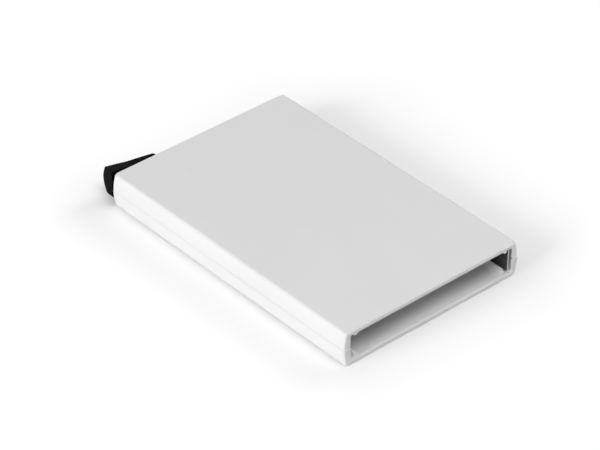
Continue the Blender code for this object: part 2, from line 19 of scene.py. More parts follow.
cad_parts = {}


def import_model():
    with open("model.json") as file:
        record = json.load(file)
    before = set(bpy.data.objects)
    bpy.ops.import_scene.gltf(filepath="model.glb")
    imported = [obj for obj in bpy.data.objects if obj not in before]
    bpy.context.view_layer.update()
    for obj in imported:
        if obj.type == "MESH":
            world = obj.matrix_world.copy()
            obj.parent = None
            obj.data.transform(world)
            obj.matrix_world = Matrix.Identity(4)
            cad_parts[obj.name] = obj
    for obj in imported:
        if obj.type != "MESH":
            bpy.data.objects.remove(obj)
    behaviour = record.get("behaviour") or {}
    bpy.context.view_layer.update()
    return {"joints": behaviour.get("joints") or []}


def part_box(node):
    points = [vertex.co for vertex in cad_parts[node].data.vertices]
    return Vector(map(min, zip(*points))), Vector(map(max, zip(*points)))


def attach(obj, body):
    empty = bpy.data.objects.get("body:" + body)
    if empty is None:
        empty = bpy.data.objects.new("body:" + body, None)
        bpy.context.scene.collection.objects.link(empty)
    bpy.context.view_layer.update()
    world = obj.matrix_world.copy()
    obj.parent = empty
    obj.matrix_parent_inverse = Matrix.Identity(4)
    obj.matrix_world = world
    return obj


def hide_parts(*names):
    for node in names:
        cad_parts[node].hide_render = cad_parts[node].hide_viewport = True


log = logging.getLogger("card_holder")

MERGE = 1e-7
OVERRUN = 0.00100
SINK = 0.00030
SHARP_ANGLE = math.radians(38)
CREASE_ANGLE = math.radians(25)
HIDDEN_EDGE_STEPS, EDGE_STEPS, FINE_EDGE_STEPS = 2, 3, 4
ACROSS, ALONG, UP = Vector((1, 0, 0)), Vector((0, 1, 0)), Vector((0, 0, 1))

Socket = bpy.types.NodeSocket


class Joining(Enum):
    """What a helper shape does to the body that it is used on."""

    ADD = "UNION"
    CUT = "DIFFERENCE"
    TRIM = "INTERSECT"


class Body(Enum):
    """Bodies of the frame that pieces ride on."""

    CASE = "case"
    LEVER = "lever"


def round_inset(radius: float, depth: float) -> float:
    """How far a rounded edge stands in from its side.

    Args:
        radius: Radius of the round.
        depth: Distance from the face that the round ends in.

    Returns:
        The radius at that face, and zero from a radius deep on.
    """
    into = max(0.0, min(radius, radius - depth))
    return radius - math.sqrt(max(0.0, radius**2 - into**2))


def round_depths(radius: float, steps: int) -> list[float]:
    """Depths that divide a rounded edge evenly, from its end face inwards.

    Args:
        radius: Radius of the round.
        steps: Number of flats that it is divided into.

    Returns:
        The depths past the end face, the deepest one a radius deep.
    """
    return [radius * (1 - math.cos(math.pi / 2 * i / steps)) for i in range(1, steps + 1)]


def is_crease(edge: bmesh.types.BMEdge) -> bool:
    """Whether the two faces of an edge turn by more than the crease angle."""
    return edge.calc_face_angle() > CREASE_ANGLE


def linked(name: str, data: bpy.types.ID) -> bpy.types.Object:
    """New object in the scene that holds this data."""
    made = bpy.data.objects.new(name, data)
    bpy.context.scene.collection.objects.link(made)
    return made


def towards(azimuth: float, elevation: float) -> Vector:
    """Direction at an azimuth from +X and an elevation over the ground."""
    level = math.cos(elevation)
    return Vector((level * math.cos(azimuth), level * math.sin(azimuth), math.sin(elevation)))


class Form:
    """A mesh in the making, shaped with bmesh operators."""

    def __init__(self) -> None:
        """Starts with an empty mesh."""
        self.mesh = bmesh.new()
        self.tip: bmesh.types.BMVert | None = None

    @classmethod
    def block(cls, low: Sequence[float], high: Sequence[float]) -> "Form":
        """Rectangular block between two corners."""
        form = cls()
        size = Vector(high) - Vector(low)
        place = Matrix.Translation((Vector(high) + Vector(low)) / 2) @ Matrix.Diagonal((*size, 1))
        bmesh.ops.create_cube(form.mesh, size=1, matrix=place)
        return form

    @classmethod
    def cylinder(cls, centre: Vector, radius: float, low: float, high: float,
                 steps: int = 64) -> "Form":
        """Upright cylinder round a centre, between two heights."""
        form = cls()
        place = Matrix.Translation((centre.x, centre.y, (low + high) / 2))
        bmesh.ops.create_cone(form.mesh, cap_ends=True, segments=steps, radius1=radius,
                              radius2=radius, depth=high - low, matrix=place)
        return form

    @classmethod
    def outline(cls, corners: Iterable[Vector]) -> "Form":
        """Filled flat outline through these corners."""
        form = cls()
        first, *others = corners
        form.start(first)
        for corner in others:
            form.line(corner)
        form.close()
        return form

    @classmethod
    def prism(cls, corners: Iterable[Vector], travel: Vector) -> "Form":
        """Straight-sided body: a flat outline drawn out along a travel."""
        form = cls.outline(corners)
        form.draw_out(travel)
        return form

    @classmethod
    def upright(cls, plan: Iterable[Sequence[float]], low: float, high: float,
                rounded: Callable[[Vector], bool] | None = None, radius: float = 0.0,
                steps: int = 6) -> "Form":
        """Body that stands on a plan.

        Args:
            plan: The plan's corners across and along the case.
            low: Height of its lower end.
            high: Height of its upper end.
            rounded: Says which corners are rounded, if any are.
            radius: Radius of those corners.
            steps: Number of flats in each of them.

        Returns:
            The body.
        """
        form = cls.outline(Vector((x, y, low)) for x, y in plan)
        if rounded:
            form.bevel([v for v in form.mesh.verts if rounded(v.co)], radius, steps, "VERTICES")
        form.draw_out(UP * (high - low))
        return form

    @classmethod
    def plate(cls, low: Vector, high: Vector, radius: float) -> "Form":
        """Flat plate with rounded corners, between its lowest and its highest corner."""
        plan = ((low.x, low.y), (high.x, low.y), (high.x, high.y), (low.x, high.y))
        return cls.upright(plan, low.z, high.z, lambda p: True, radius)

    def start(self, place: Vector) -> None:
        """Puts the pen down at a place."""
        self.tip = bmesh.ops.create_vert(self.mesh, co=place)["vert"][0]

    def line(self, place: Vector) -> None:
        """Draws a straight edge from the pen to a place."""
        self.tip = bmesh.ops.extrude_vert_indiv(self.mesh, verts=[self.tip])["verts"][0]
        self.tip.co = place

    def arc(self, centre: Vector, axis: Vector, angle: float, steps: int) -> None:
        """Draws an arc from the pen.

        Args:
            centre: Centre of the arc.
            axis: Axis that the pen turns round.
            angle: Angle of the turn, in radians.
            steps: Number of edges.
        """
        made = bmesh.ops.spin(self.mesh, geom=[self.tip], cent=centre, axis=axis, dvec=Vector(),
                              angle=angle, steps=steps, use_duplicate=False)
        self.tip = next(v for v in made["geom_last"] if isinstance(v, bmesh.types.BMVert))

    def close(self) -> None:
        """Joins the two open ends of the outline and fills it."""
        ends = [v for v in self.mesh.verts if len(v.link_edges) == 1]
        if len(ends) == 2:
            self.mesh.edges.new(ends)
        bmesh.ops.edgeloop_fill(self.mesh, edges=self.mesh.edges[:])

    def bevel(self, chosen: list, width: float, steps: int, affect: str = "EDGES",
              clamp: bool = False) -> None:
        """Rounds the chosen edges or vertices, clamped where rounds would run into one another."""
        bmesh.ops.bevel(self.mesh, geom=chosen, offset=width, offset_type="OFFSET", segments=steps,
                        profile=0.5, affect=affect, clamp_overlap=clamp, material=-1)

    def draw_out(self, travel: Vector) -> None:
        """Draws the filled outline out into a solid body."""
        raised = bmesh.ops.extrude_face_region(self.mesh, geom=self.mesh.faces[:])["geom"]
        moved = [v for v in raised if isinstance(v, bmesh.types.BMVert)]
        bmesh.ops.translate(self.mesh, vec=travel, verts=moved)
        self.face_outwards()

    def face_outwards(self) -> None:
        """Turns every face outwards."""
        bmesh.ops.recalc_face_normals(self.mesh, faces=self.mesh.faces[:])

    def slice(self, axis: Vector, places: Iterable[float]) -> None:
        """Divides the faces by planes across an axis at these places along it."""
        for place in places:
            everything = self.mesh.verts[:] + self.mesh.edges[:] + self.mesh.faces[:]
            bmesh.ops.bisect_plane(self.mesh, geom=everything, dist=MERGE, plane_co=axis * place,
                                   plane_no=axis)

    def reshape(self, rule: Callable[[Vector], Vector]) -> None:
        """Moves every vertex to where the rule puts it."""
        for vertex in self.mesh.verts:
            vertex.co = rule(vertex.co.copy())

    def soften(self, chosen: Callable[[bmesh.types.BMEdge], bool], width: float,
               steps: int) -> None:
        """Rounds the chosen edges.

        Args:
            chosen: Says whether an edge is rounded.
            width: Width of the round on each side of the edge.
            steps: Number of flats in the round.
        """
        edges = [e for e in self.mesh.edges if e.is_manifold and chosen(e)]
        self.bevel(edges, width, steps, clamp=True)

    def tidy(self) -> None:
        """Merges doubled vertices and drops faces without area."""
        bmesh.ops.remove_doubles(self.mesh, verts=self.mesh.verts[:], dist=MERGE)
        bmesh.ops.dissolve_degenerate(self.mesh, edges=self.mesh.edges[:], dist=MERGE)

    def to_object(self, name: str) -> bpy.types.Object:
        """New object at the origin that holds the finished mesh."""
        mesh = bpy.data.meshes.new(name)
        self.mesh.to_mesh(mesh)
        self.mesh.free()
        return linked(name, mesh)


class Workpiece:
    """A body that helper shapes are added to, cut from or trimmed by."""

    def __init__(self, name: str, body: Form) -> None:
        """Starts from a body.

        Args:
            name: Name for the body while it is worked on.
            body: The form to start from.
        """
        self.name = name
        self.body = body.to_object(name + "_blank")
        self.helpers: list[bpy.types.Object] = []

    def use(self, how: Joining, *helpers: Form) -> None:
        """Uses helper shapes on the body, one after the other."""
        for helper in helpers:
            tool = helper.to_object(f"{self.name}_helper_{len(self.helpers)}")
            step = self.body.modifiers.new(tool.name, "BOOLEAN")
            step.operation = how.value
            step.solver = "EXACT"
            step.object = tool
            self.helpers.append(tool)

    def worked(self) -> Form:
        """The form that results, with the body and its helpers cleared away."""
        evaluated = self.body.evaluated_get(bpy.context.evaluated_depsgraph_get())
        result = Form()
        mesh = bpy.data.meshes.new_from_object(evaluated)
        result.mesh.from_mesh(mesh)
        bpy.data.meshes.remove(mesh)
        for used in [self.body, *self.helpers]:
            bpy.data.objects.remove(used)
        result.tidy()
        return result


@dataclass(frozen=True)
class CaseSizes:
    """Sizes of the case that its pieces share; what the frame knows is read from it."""

    half: float
    upper_half: float
    mouth: float
    back: float
    height: float
    pivot: Vector
    seam: float = 0.00536
    seam_gap: float = 0.00002
    side_wall: float = 0.00290
    upper_wall_step: float = 0.00010
    floor_wall: float = 0.00145
    top_wall: float = 0.00105
    back_wall: float = 0.00140
    pocket: float = 0.00530
    slot_left_reach: float = 0.00255
    slot_right_reach: float = 0.01075
    rail_to_pocket: float = 0.00150

    @classmethod
    def from_frame(cls, joints: list[dict]) -> "CaseSizes":
        """Reads the outer sizes from the CAD nodes and the pivot from the lever's joint."""
        low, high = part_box("lower_shell")
        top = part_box("upper_shell")[1]
        return cls(high.x, top.x, low.y, high.y, top.z, Vector(joints[0]["pos_m"]))

    @property
    def inner_half(self) -> float:
        """Half the width between the lower side walls."""
        return self.half - self.side_wall

    @property
    def upper_inner_half(self) -> float:
        """Half the width between the upper side walls, which are a step thinner."""
        return self.inner_half + self.upper_wall_step

    @property
    def ceiling(self) -> float:
        """Height of the ceiling."""
        return self.height - self.top_wall

    @property
    def back_inner(self) -> float:
        """Place of the inner face of the back wall."""
        return self.back - self.back_wall

    @property
    def rail_end(self) -> float:
        """Place where the rails end, a little before the lever's pocket."""
        return self.back_inner - self.pocket - self.rail_to_pocket

    @property
    def slot(self) -> tuple[float, float]:
        """Left and right side of the lever's slot."""
        return self.pivot.x - self.slot_left_reach, self.pivot.x + self.slot_right_reach


@dataclass(frozen=True)
class ShellSkin:
    """Outer form and walls of one shell; its bowed side meets its flat face in a small round."""

    case: CaseSizes
    name: str
    half: float
    inner_half: float
    side_radius: float
    seam: float
    flat: float
    wall: float
    seam_bevel: float
    lead: float = 0.0
    setback: float = 0.0
    edge_radius: float = 0.00100
    seam_chamfer: float = 0.00003
    mouth_radius: float = 0.00020
    left_inset: float = 0.00040
    left_inset_run: float = 0.00100
    right_inset: float = 0.00090
    right_inset_run: float = 0.00180
    back_radius: float = 0.00050
    left_corner_radius: float = 0.00120
    right_corner_radius: float = 0.00080
    side_steps: int = 16
    edge_steps: int = 8
    end_steps: int = 5
    inset_steps: int = 9
    corner_steps: int = 12

    @property
    def front(self) -> float:
        """Place of the shell's front end."""
        return self.case.mouth + self.setback

    @property
    def up(self) -> float:
        """1 where the flat face lies above the seam, and -1 where it lies below."""
        return math.copysign(1.0, self.flat - self.seam)

    @property
    def rise(self) -> float:
        """Distance from the seam to the flat face."""
        return abs(self.flat - self.seam)

    @property
    def meet(self) -> float:
        """Angle at which the bowed side runs into the small round."""
        return math.asin((self.rise - self.edge_radius) / (self.side_radius - self.edge_radius))

    @property
    def side_centre(self) -> float:
        """Distance of the bowed side's centre from the middle of the case."""
        return self.half - self.side_radius

    @property
    def edge_centre(self) -> float:
        """Distance of the small round's centre from the middle of the case."""
        return self.side_centre + (self.side_radius - self.edge_radius) * math.cos(self.meet)

    def away(self, place: Vector) -> Vector:
        """Direction out of the straight form across the case, at one of its vertices.

        Args:
            place: A vertex of the form as it was drawn out.

        Returns:
            The outward direction to the side and to the flat face, both as positive shares.
        """
        across = abs(place.x)
        rise = self.up * (place.z - self.seam)
        if rise <= self.side_radius * math.sin(self.meet) + MERGE:
            angle = math.asin(rise / self.side_radius)
        elif across > self.edge_centre:
            angle = math.atan2(rise - (self.rise - self.edge_radius), across - self.edge_centre)
        else:
            angle = math.pi / 2
        return Vector((math.cos(angle), math.sin(angle)))

    def drawn_in(self, place: Vector) -> Vector:
        """Where a vertex of the straight form goes once the ends are rounded and drawn in."""
        from_mouth = place.y - self.front
        from_back = self.case.back - place.y
        edge = round_inset(self.mouth_radius, from_mouth) + round_inset(self.back_radius, from_back)
        if place.x < 0:
            run, deepest, corner = self.left_inset_run, self.left_inset, self.left_corner_radius
        else:
            run, deepest, corner = self.right_inset_run, self.right_inset, self.right_corner_radius
        bow = (run**2 + deepest**2) / (2 * deepest)
        into = max(0.0, run - from_mouth)
        away = self.away(place)
        inset = bow - math.sqrt(bow**2 - into**2) + round_inset(corner, from_back) + edge * away.x
        across = place.x - math.copysign(inset, place.x)
        return Vector((across, place.y, place.z - self.up * edge * away.y))

    def form(self) -> Form:
        """The shell's full outer body, from its seam to its flat face."""
        form = Form()
        turn_axis = Vector((0, -self.up, 0))
        lift = math.asin(self.seam_chamfer / self.side_radius)
        first = Vector((math.cos(lift), 0, self.up * math.sin(lift))) * self.side_radius
        centre = Vector((self.side_centre, self.front, self.seam))
        form.start(Vector((self.half - self.seam_chamfer, self.front, self.seam)))
        form.line(centre + first)
        form.arc(centre, turn_axis, self.meet - lift, self.side_steps)
        round_level = self.flat - self.up * self.edge_radius
        round_centre = Vector((self.edge_centre, self.front, round_level))
        form.arc(round_centre, turn_axis, math.pi / 2 - self.meet, self.edge_steps)
        form.line(Vector((0, self.front, self.flat)))
        drawn = form.mesh.verts[:] + form.mesh.edges[:]
        bmesh.ops.mirror(form.mesh, geom=drawn, axis="X", merge_dist=MERGE)
        form.close()
        bmesh.ops.dissolve_limit(form.mesh, angle_limit=MERGE, verts=form.mesh.verts[:],
                                 edges=form.mesh.edges[:])
        form.draw_out(ALONG * (self.case.back - self.front))
        depths = round_depths(self.mouth_radius, self.end_steps)
        step = self.right_inset_run / self.inset_steps
        depths += [step * i for i in range(1, self.inset_steps + 1)]
        form.slice(ALONG, [self.front + depth for depth in depths])
        corner_depths = round_depths(self.left_corner_radius, self.corner_steps)
        form.slice(ALONG, [self.case.back - depth for depth in corner_depths])
        form.reshape(self.drawn_in)
        form.face_outwards()
        return form


@dataclass(frozen=True)
class Rail:
    """Low rib along the case: upright on its channel side, and sloped on the side of the cards."""

    side: float
    inward: float
    front: float
    end: float
    wall: float
    tip: float
    ramp: float = 0.0
    width: float = 0.00130
    tip_width: float = 0.00055
    draft: float = 0.00005
    tip_round: float = 0.00012

    def form(self) -> Form:
        """The rail, its foot sunk into its wall and its front end a ramp where it has one."""
        foot = self.wall + math.copysign(SINK, self.wall - self.tip)
        reaches = [(0.0, foot), (0.0, self.wall), (self.draft, self.tip),
                   (self.draft + self.tip_width, self.tip), (self.width, self.wall),
                   (self.width, foot)]
        corners = [Vector((self.side + self.inward * reach, self.front, z)) for reach, z in reaches]
        form = Form.prism(corners, ALONG * (self.end - self.front))
        form.slice(UP, [self.wall])
        form.reshape(self.ramped)
        tip = self.tip
        form.soften(lambda e: all(abs(v.co.z - tip) < MERGE for v in e.verts), self.tip_round,
                    FINE_EDGE_STEPS)
        return form

    def ramped(self, place: Vector) -> Vector:
        """Where a vertex goes once the front end leans back."""
        at_front = place.y < (self.front + self.end) / 2
        share = max(0.0, (place.z - self.wall) / (self.tip - self.wall)) if at_front else 0.0
        return place + ALONG * (self.ramp * share)


@dataclass(frozen=True)
class Case:
    """The two white shells with their rails, screens' recesses, slot and seats."""

    sizes: CaseSizes
    upper_side_radius: float = 0.01400
    lower_side_radius: float = 0.01600
    mouth_round: float = 0.00012
    slot_round: float = 0.00015
    inner_round: float = 0.00020
    upper_setback: float = 0.00020
    upper_seam_bevel: float = 0.00040
    lower_seam_bevel: float = 0.00025
    floor_lead: float = 0.00060
    side_lead: float = 0.00035
    side_lead_run: float = 0.00150
    floor_rail_height: float = 0.00150
    ceiling_rail_height: float = 0.00065
    rail_setback: float = 0.00005
    rail_ramp: float = 0.00090
    left_floor_channel: float = 0.00120
    left_ceiling_channel: float = 0.00085
    spring_to_rail: float = 0.00015
    seat_height: float = 0.00045
    seat_from_mouth: float = 0.00100
    stop_length: float = 0.00100
    stop_height: float = 0.00250
    spring_end_gap: float = 0.00025
    screen_gap: float = 0.00030
    screen_corner: float = 0.00200
    tongue_width: float = 0.00050
    tongue_height: float = 0.00080
    tongue_gap: float = 0.00010
    tongue_from_mouth: float = 0.00150
    tongue_from_slot: float = 0.00200
    boss_radius: float = 0.00190
    boss_height: float = 0.00050
    pin_gap: float = 0.00005
    pin_skin: float = 0.00060
    lead_steps: int = 5
    inner_steps: int = 6

    @property
    def channel(self) -> float:
        """Left side of the spring's channel, where the right-hand rails stand."""
        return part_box("card_spring")[0].x - self.spring_to_rail

    def cavity(self, skin: ShellSkin) -> Form:
        """Cutter for a shell's inside, with rounded inner corners, and flared at the mouth."""
        half, wall, bevel = skin.inner_half, skin.wall, skin.seam_bevel
        start = skin.front - OVERRUN
        right = [(half, wall), (half, skin.seam + skin.up * bevel),
                 (half + bevel + OVERRUN, skin.seam - skin.up * OVERRUN)]
        left = [(-x, z) for x, z in reversed(right)]
        form = Form.outline(Vector((x, start, z)) for x, z in right + left)
        corners = [v for v in form.mesh.verts if abs(v.co.z - wall) < MERGE]
        form.bevel(corners, self.inner_round, self.inner_steps, "VERTICES")
        form.draw_out(ALONG * (self.sizes.back_inner - start))
        rim_depths = round_depths(self.mouth_round, self.lead_steps)
        depths = [0.0, *rim_depths, skin.lead, self.side_lead_run]
        form.slice(ALONG, [skin.front + depth for depth in depths])

        def flared(place: Vector) -> Vector:
            """Moves a vertex near the mouth outwards, to the side and to the floor or ceiling."""
            depth = max(0.0, place.y - skin.front)
            rim = round_inset(self.mouth_round, depth)
            side_lead = self.side_lead if place.x < 0 else 0.0
            slope = side_lead * max(0.0, 1 - depth / self.side_lead_run)
            at_wall = abs(place.z - wall) < self.inner_round + MERGE
            drop = rim + max(0.0, skin.lead - depth) if at_wall else 0.0
            return place + Vector((math.copysign(rim + slope, place.x), 0, skin.up * drop))

        form.reshape(flared)
        return form

    def slot_cut(self, skin: ShellSkin) -> Form:
        """Cutter for a shell's share of the lever's slot, its outer rim rounded over."""
        case = self.sizes
        left, right = case.slot
        low, high = sorted((skin.seam - skin.up * OVERRUN, skin.wall))
        form = Form.block((left, case.back_inner - OVERRUN, low),
                          (right, case.back + OVERRUN, high))
        depths = [0.0, *round_depths(self.slot_round, self.lead_steps)]
        form.slice(ALONG, [case.back - depth for depth in depths])
        middle = Vector(((left + right) / 2, 0, (low + high) / 2))

        def widened(place: Vector) -> Vector:
            """Moves a vertex out from the slot's middle by the rim's inset."""
            grow = round_inset(self.slot_round, case.back - place.y)
            away = place - middle
            return place + Vector((math.copysign(grow, away.x), 0, math.copysign(grow, away.z)))

        form.reshape(widened)
        return form

    def recess(self, skin: ShellSkin) -> Form:
        """Cutter for the shallow recess that a shell's screen is taped into."""
        near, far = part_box(skin.name + "_screen")
        gap = self.screen_gap
        low, high = sorted((skin.wall - skin.up * OVERRUN, skin.wall + skin.up * gap))
        return Form.plate(Vector((near.x - gap, near.y - gap, low)),
                          Vector((far.x + gap, far.y + gap, high)), self.screen_corner + gap)

    def tongues(self, grow: float, low: float, high: float) -> list[Form]:
        """Tongue along the left side, and the one along the right side and the back.

        Args:
            grow: How much wider than the tongue it is on each side.
            low: Height of its lower end.
            high: Height of its upper end.
        """
        case = self.sizes
        reach = self.tongue_width / 2 + grow
        side = (case.upper_inner_half + case.upper_half) / 2
        rear = (case.back_inner + case.back) / 2
        front = case.mouth + self.tongue_from_mouth - grow
        past_slot = case.slot[1] + self.tongue_from_slot - grow
        left = Form.block((-side - reach, front, low),
                          (-side + reach, case.back_inner + grow, high))
        corners = [(side - reach, front), (side + reach, front), (side + reach, rear + reach),
                   (past_slot, rear + reach), (past_slot, rear - reach),
                   (side - reach, rear - reach)]
        return [left, Form.upright(corners, low, high)]

    def rails(self, skin: ShellSkin, left_channel: float, front: float, height: float,
              ramp: float = 0.0) -> list[Form]:
        """Both rails of a shell, each upright on the side of its channel."""
        case = self.sizes
        tip = skin.wall - skin.up * height
        sides = ((left_channel - case.inner_half, 1), (self.channel, -1))
        return [Rail(side, inward, front, case.rail_end, skin.wall, tip, ramp).form()
                for side, inward in sides]

    def shell(self, skin: ShellSkin, rails: Sequence[Form],
              fittings: Sequence[tuple[Joining, Form]]) -> Form:
        """One shell: its skin hollowed out, with rails, fittings, and the pin's boss and seat.

        Args:
            skin: The shell's outer form and its walls.
            rails: The rails on its wall.
            fittings: Its other shapes in order, each with what it does to the shell.

        Returns:
            The finished shell.
        """
        work = Workpiece(skin.name, skin.form())
        work.use(Joining.CUT, self.cavity(skin), self.slot_cut(skin), self.recess(skin))
        work.use(Joining.ADD, *rails)
        for how, fitting in fittings:
            work.use(how, fitting)
        pivot = self.sizes.pivot
        boss_end = skin.wall - skin.up * self.boss_height
        boss = sorted((boss_end, skin.wall + skin.up * SINK))
        seat = sorted((boss_end - skin.up * OVERRUN, skin.flat - skin.up * self.pin_skin))
        work.use(Joining.ADD, Form.cylinder(pivot, self.boss_radius, *boss))
        work.use(Joining.CUT, Form.cylinder(pivot, self.pin_radius + self.pin_gap, *seat))
        return work.worked()

    def upper_shell(self) -> Form:
        """Top half of the case, with its ceiling rails, tongue and pin seat."""
        case = self.sizes
        seam = case.seam + case.seam_gap / 2
        skin = ShellSkin(case, "upper", case.upper_half, case.upper_inner_half,
                         self.upper_side_radius, seam, case.height, case.ceiling,
                         self.upper_seam_bevel, setback=self.upper_setback)
        rails = self.rails(skin, self.left_ceiling_channel, skin.front + self.rail_setback,
                           self.ceiling_rail_height)
        tongues = self.tongues(0, seam - self.tongue_height, seam + SINK)
        return self.shell(skin, rails, [(Joining.ADD, tongue) for tongue in tongues])

    def lower_shell(self) -> Form:
        """Bottom half of the case, with its floor rails, groove, pin seat and spring's channel."""
        case = self.sizes
        seam, floor = case.seam - case.seam_gap / 2, case.floor_wall
        skin = ShellSkin(case, "lower", case.half, case.inner_half, self.lower_side_radius, seam,
                         0.0, floor, self.lower_seam_bevel, self.floor_lead - self.mouth_round)
        rails = self.rails(skin, self.left_floor_channel, case.mouth + self.floor_lead,
                           self.floor_rail_height, self.rail_ramp)
        spring_low, spring_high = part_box("card_spring")
        stop_front = spring_high.y + self.spring_end_gap
        channel_right = case.inner_half + SINK
        seat = Form.block((self.channel - SINK, case.mouth + self.seat_from_mouth, floor - SINK),
                          (channel_right, stop_front + SINK, floor + self.seat_height))
        stop = Form.block((spring_low.x + self.spring_to_rail, stop_front, floor - SINK),
                          (channel_right, stop_front + self.stop_length, floor + self.stop_height))
        groove_low = seam - self.tongue_height - self.tongue_gap
        grooves = self.tongues(self.tongue_gap, groove_low, seam + OVERRUN)
        return self.shell(skin, rails, [(Joining.ADD, seat), (Joining.ADD, stop),
                                        *((Joining.CUT, groove) for groove in grooves)])

    @property
    def pin_radius(self) -> float:
        """Radius of the lever's pin."""
        low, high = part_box("lever_pin")
        return (high.x - low.x) / 2

    def build(self, finish: bpy.types.Material) -> None:
        """Makes both shells in their finish."""
        set_in_frame(self.upper_shell(), "upper_shell", Body.CASE, "case", finish)
        set_in_frame(self.lower_shell(), "lower_shell", Body.CASE, "case", finish)


def set_in_frame(form: Form, node: str, body: Body, slot: str,
                 *finishes: bpy.types.Material) -> None:
    """Makes a piece of a form, shades it and sets it in the frame in place of a CAD node.

    Args:
        form: The finished form.
        node: CAD node that the piece stands for.
        body: Body that the piece rides on.
        slot: The record's material slot; not used.
        *finishes: Materials, in the order of the faces' material indices.
    """
    piece = form.to_object("fine_" + node)
    for finish in finishes:
        piece.data.materials.append(finish)
    piece.data.shade_smooth()
    piece.data.set_sharp_from_angle(angle=SHARP_ANGLE)
    weighted = piece.modifiers.new("face_weighted_normals", "WEIGHTED_NORMAL")
    weighted.keep_sharp = True
    weighted.weight = 100
    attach(piece, body.value)
    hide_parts(node)
    log.info("%s: %d faces", piece.name, len(piece.data.polygons))


@dataclass(frozen=True)
class CardSpring:
    """Wavy strip on edge in the right-hand channel, blackened, with bare cut edges."""

    thickness: float = 0.00050
    wave: float = 0.00085
    wave_count: float = 2.5
    lead_out: float = 0.00045
    first_crest: float = 0.01500
    edge_round: float = 0.00006
    steps: int = 240

    def offset(self, along: float, length: float) -> float:
        """How far the strip stands back from its crests at a place along it."""
        past = along - self.first_crest
        if past < 0:
            return self.lead_out * (1 - math.cos(math.pi * past / self.first_crest)) / 2
        wave_length = (length - self.first_crest) / self.wave_count
        return self.wave * (1 - math.cos(math.tau * past / wave_length)) / 2

    def build(self, faces: bpy.types.Material, cut_edges: bpy.types.Material) -> None:
        """Makes the strip, its broad faces in one finish and its cut edges in another."""
        low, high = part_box("card_spring")
        length = high.y - low.y
        form = Form.block(low, (low.x + self.thickness, high.y, high.z))
        form.soften(is_crease, self.edge_round, HIDDEN_EDGE_STEPS)
        for face in form.mesh.faces:
            face.material_index = 0 if abs(face.normal.x) > 1 - MERGE else 1
        form.slice(ALONG, [low.y + length * i / self.steps for i in range(1, self.steps)])
        shift = self.offset
        form.reshape(lambda p: p + ACROSS * shift(p.y - low.y, length))
        set_in_frame(form, "card_spring", Body.CASE, "spring", faces, cut_edges)


@dataclass(frozen=True)
class Screens:
    """Thin aluminium sheets under the ceiling and over the floor."""

    corner: float = 0.00200
    edge_round: float = 0.00005

    def build(self, finish: bpy.types.Material) -> None:
        """Makes both screens in their finish."""
        for node in ("upper_screen", "lower_screen"):
            form = Form.plate(*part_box(node), self.corner)
            form.soften(is_crease, self.edge_round, HIDDEN_EDGE_STEPS)
            set_in_frame(form, node, Body.CASE, "screen", finish)


@dataclass(frozen=True)
class LeverPin:
    """Turned steel pin that the lever turns on."""

    chamfer: float = 0.00020

    def build(self, finish: bpy.types.Material) -> None:
        """Makes the pin in its finish."""
        low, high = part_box("lever_pin")
        form = Form.cylinder((low + high) / 2, (high.x - low.x) / 2, low.z, high.z)
        form.soften(is_crease, self.chamfer, EDGE_STEPS)
        set_in_frame(form, "lever_pin", Body.CASE, "pin", finish)


